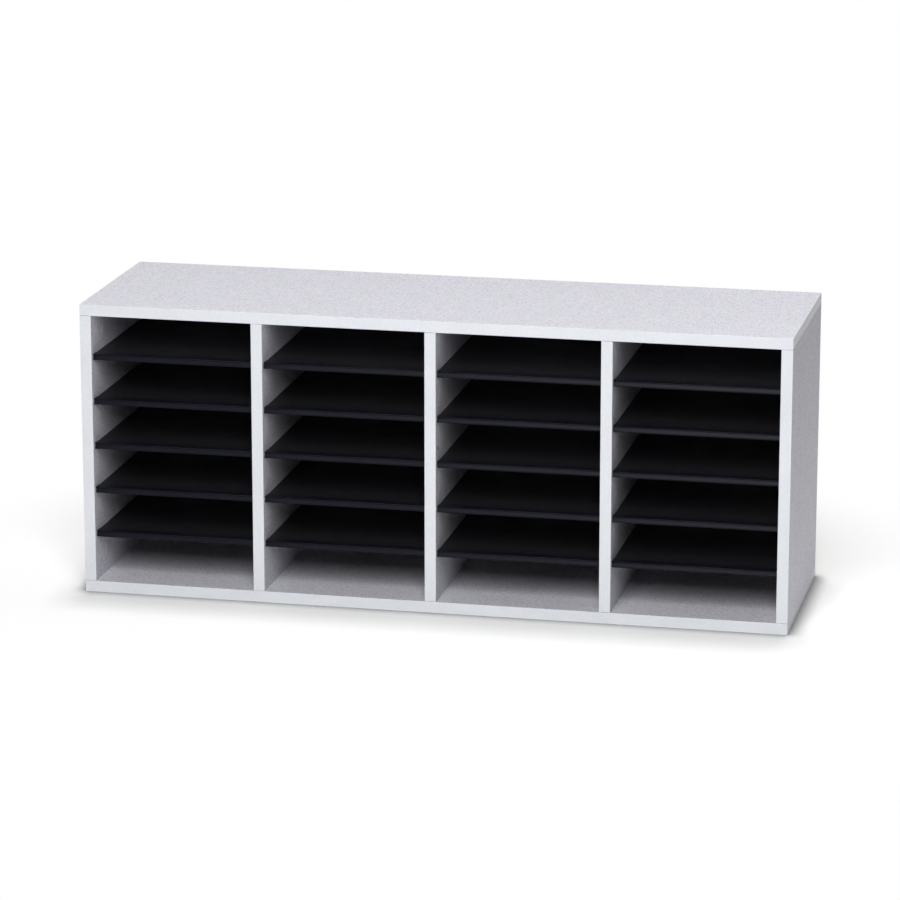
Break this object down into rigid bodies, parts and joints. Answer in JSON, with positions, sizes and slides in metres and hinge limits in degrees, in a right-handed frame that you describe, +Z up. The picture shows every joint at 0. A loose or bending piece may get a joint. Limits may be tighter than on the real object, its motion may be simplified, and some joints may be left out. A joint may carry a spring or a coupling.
{
  "type": "literature organizer",
  "caption": "Free-standing light grey literature organizer, open at the front, with columns of thin black pull-out shelves on pins, each with a label moulding.",
  "frame": {"origin": "middle of the underside of the bottom panel", "axes": "+X to the right along the width, +Y to the back, +Z up; the open front faces -Y"},
  "size_m": [1, 0.298, 0.416],
  "materials": {
    "grey_laminate": "particle board faced with finely speckled light grey laminate, satin",
    "edge_band": "smooth light grey edge banding, satin",
    "hardboard_back": "thin hardboard, light grey lacquer on the inner face, bare brown outside",
    "black_hardboard": "black hardboard, satin",
    "black_plastic": "extruded black plastic, half gloss",
    "pin_plastic": "black moulded nylon",
    "zinc": "zinc die casting",
    "plated_steel": "bright zinc-plated steel",
    "beech": "fluted beech",
    "cover_plastic": "light grey moulded plastic"
  },
  "bodies": {
    "case": {"top_panel": "grey_laminate", "bottom_panel": "grey_laminate", "back_panel": "hardboard_back", "top_edge_bands": "edge_band", "bottom_edge_bands": "edge_band", "upright_edge_bands": "edge_band", "cam_bolts": "plated_steel", "cam_locks": "zinc", "cam_covers": "cover_plastic", "dowels": "beech", "back_nails": "plated_steel", "front_shelf_pins": "pin_plastic", "rear_shelf_pins": "pin_plastic", "left_side_panel": "grey_laminate", "divider_1": "grey_laminate", "divider_2": "grey_laminate", "divider_3": "grey_laminate", "right_side_panel": "grey_laminate"},
    "shelf_c1_r1": {"shelf_c1_r1": "black_hardboard", "label_moulding_c1_r1": "black_plastic"},
    "shelf_c1_r2": {"shelf_c1_r2": "black_hardboard", "label_moulding_c1_r2": "black_plastic"},
    "shelf_c1_r3": {"shelf_c1_r3": "black_hardboard", "label_moulding_c1_r3": "black_plastic"},
    "shelf_c1_r4": {"shelf_c1_r4": "black_hardboard", "label_moulding_c1_r4": "black_plastic"},
    "shelf_c1_r5": {"shelf_c1_r5": "black_hardboard", "label_moulding_c1_r5": "black_plastic"},
    "shelf_c2_r1": {"shelf_c2_r1": "black_hardboard", "label_moulding_c2_r1": "black_plastic"},
    "shelf_c2_r2": {"shelf_c2_r2": "black_hardboard", "label_moulding_c2_r2": "black_plastic"},
    "shelf_c2_r3": {"shelf_c2_r3": "black_hardboard", "label_moulding_c2_r3": "black_plastic"},
    "shelf_c2_r4": {"shelf_c2_r4": "black_hardboard", "label_moulding_c2_r4": "black_plastic"},
    "shelf_c2_r5": {"shelf_c2_r5": "black_hardboard", "label_moulding_c2_r5": "black_plastic"},
    "shelf_c3_r1": {"shelf_c3_r1": "black_hardboard", "label_moulding_c3_r1": "black_plastic"},
    "shelf_c3_r2": {"shelf_c3_r2": "black_hardboard", "label_moulding_c3_r2": "black_plastic"},
    "shelf_c3_r3": {"shelf_c3_r3": "black_hardboard", "label_moulding_c3_r3": "black_plastic"},
    "shelf_c3_r4": {"shelf_c3_r4": "black_hardboard", "label_moulding_c3_r4": "black_plastic"},
    "shelf_c3_r5": {"shelf_c3_r5": "black_hardboard", "label_moulding_c3_r5": "black_plastic"},
    "shelf_c4_r1": {"shelf_c4_r1": "black_hardboard", "label_moulding_c4_r1": "black_plastic"},
    "shelf_c4_r2": {"shelf_c4_r2": "black_hardboard", "label_moulding_c4_r2": "black_plastic"},
    "shelf_c4_r3": {"shelf_c4_r3": "black_hardboard", "label_moulding_c4_r3": "black_plastic"},
    "shelf_c4_r4": {"shelf_c4_r4": "black_hardboard", "label_moulding_c4_r4": "black_plastic"},
    "shelf_c4_r5": {"shelf_c4_r5": "black_hardboard", "label_moulding_c4_r5": "black_plastic"}
  },
  "joints": [
    {"name": "shelf_c1_r1_slide", "type": "slide", "parent": "case", "child": "shelf_c1_r1", "axis": [0, -1, 0], "range_m": [0, 0.3]},
    {"name": "shelf_c1_r2_slide", "type": "slide", "parent": "case", "child": "shelf_c1_r2", "axis": [0, -1, 0], "range_m": [0, 0.3]},
    {"name": "shelf_c1_r3_slide", "type": "slide", "parent": "case", "child": "shelf_c1_r3", "axis": [0, -1, 0], "range_m": [0, 0.3]},
    {"name": "shelf_c1_r4_slide", "type": "slide", "parent": "case", "child": "shelf_c1_r4", "axis": [0, -1, 0], "range_m": [0, 0.3]},
    {"name": "shelf_c1_r5_slide", "type": "slide", "parent": "case", "child": "shelf_c1_r5", "axis": [0, -1, 0], "range_m": [0, 0.3]},
    {"name": "shelf_c2_r1_slide", "type": "slide", "parent": "case", "child": "shelf_c2_r1", "axis": [0, -1, 0], "range_m": [0, 0.3]},
    {"name": "shelf_c2_r2_slide", "type": "slide", "parent": "case", "child": "shelf_c2_r2", "axis": [0, -1, 0], "range_m": [0, 0.3]},
    {"name": "shelf_c2_r3_slide", "type": "slide", "parent": "case", "child": "shelf_c2_r3", "axis": [0, -1, 0], "range_m": [0, 0.3]},
    {"name": "shelf_c2_r4_slide", "type": "slide", "parent": "case", "child": "shelf_c2_r4", "axis": [0, -1, 0], "range_m": [0, 0.3]},
    {"name": "shelf_c2_r5_slide", "type": "slide", "parent": "case", "child": "shelf_c2_r5", "axis": [0, -1, 0], "range_m": [0, 0.3]},
    {"name": "shelf_c3_r1_slide", "type": "slide", "parent": "case", "child": "shelf_c3_r1", "axis": [0, -1, 0], "range_m": [0, 0.3]},
    {"name": "shelf_c3_r2_slide", "type": "slide", "parent": "case", "child": "shelf_c3_r2", "axis": [0, -1, 0], "range_m": [0, 0.3]},
    {"name": "shelf_c3_r3_slide", "type": "slide", "parent": "case", "child": "shelf_c3_r3", "axis": [0, -1, 0], "range_m": [0, 0.3]},
    {"name": "shelf_c3_r4_slide", "type": "slide", "parent": "case", "child": "shelf_c3_r4", "axis": [0, -1, 0], "range_m": [0, 0.3]},
    {"name": "shelf_c3_r5_slide", "type": "slide", "parent": "case", "child": "shelf_c3_r5", "axis": [0, -1, 0], "range_m": [0, 0.3]},
    {"name": "shelf_c4_r1_slide", "type": "slide", "parent": "case", "child": "shelf_c4_r1", "axis": [0, -1, 0], "range_m": [0, 0.3]},
    {"name": "shelf_c4_r2_slide", "type": "slide", "parent": "case", "child": "shelf_c4_r2", "axis": [0, -1, 0], "range_m": [0, 0.3]},
    {"name": "shelf_c4_r3_slide", "type": "slide", "parent": "case", "child": "shelf_c4_r3", "axis": [0, -1, 0], "range_m": [0, 0.3]},
    {"name": "shelf_c4_r4_slide", "type": "slide", "parent": "case", "child": "shelf_c4_r4", "axis": [0, -1, 0], "range_m": [0, 0.3]},
    {"name": "shelf_c4_r5_slide", "type": "slide", "parent": "case", "child": "shelf_c4_r5", "axis": [0, -1, 0], "range_m": [0, 0.3]}
  ]
}
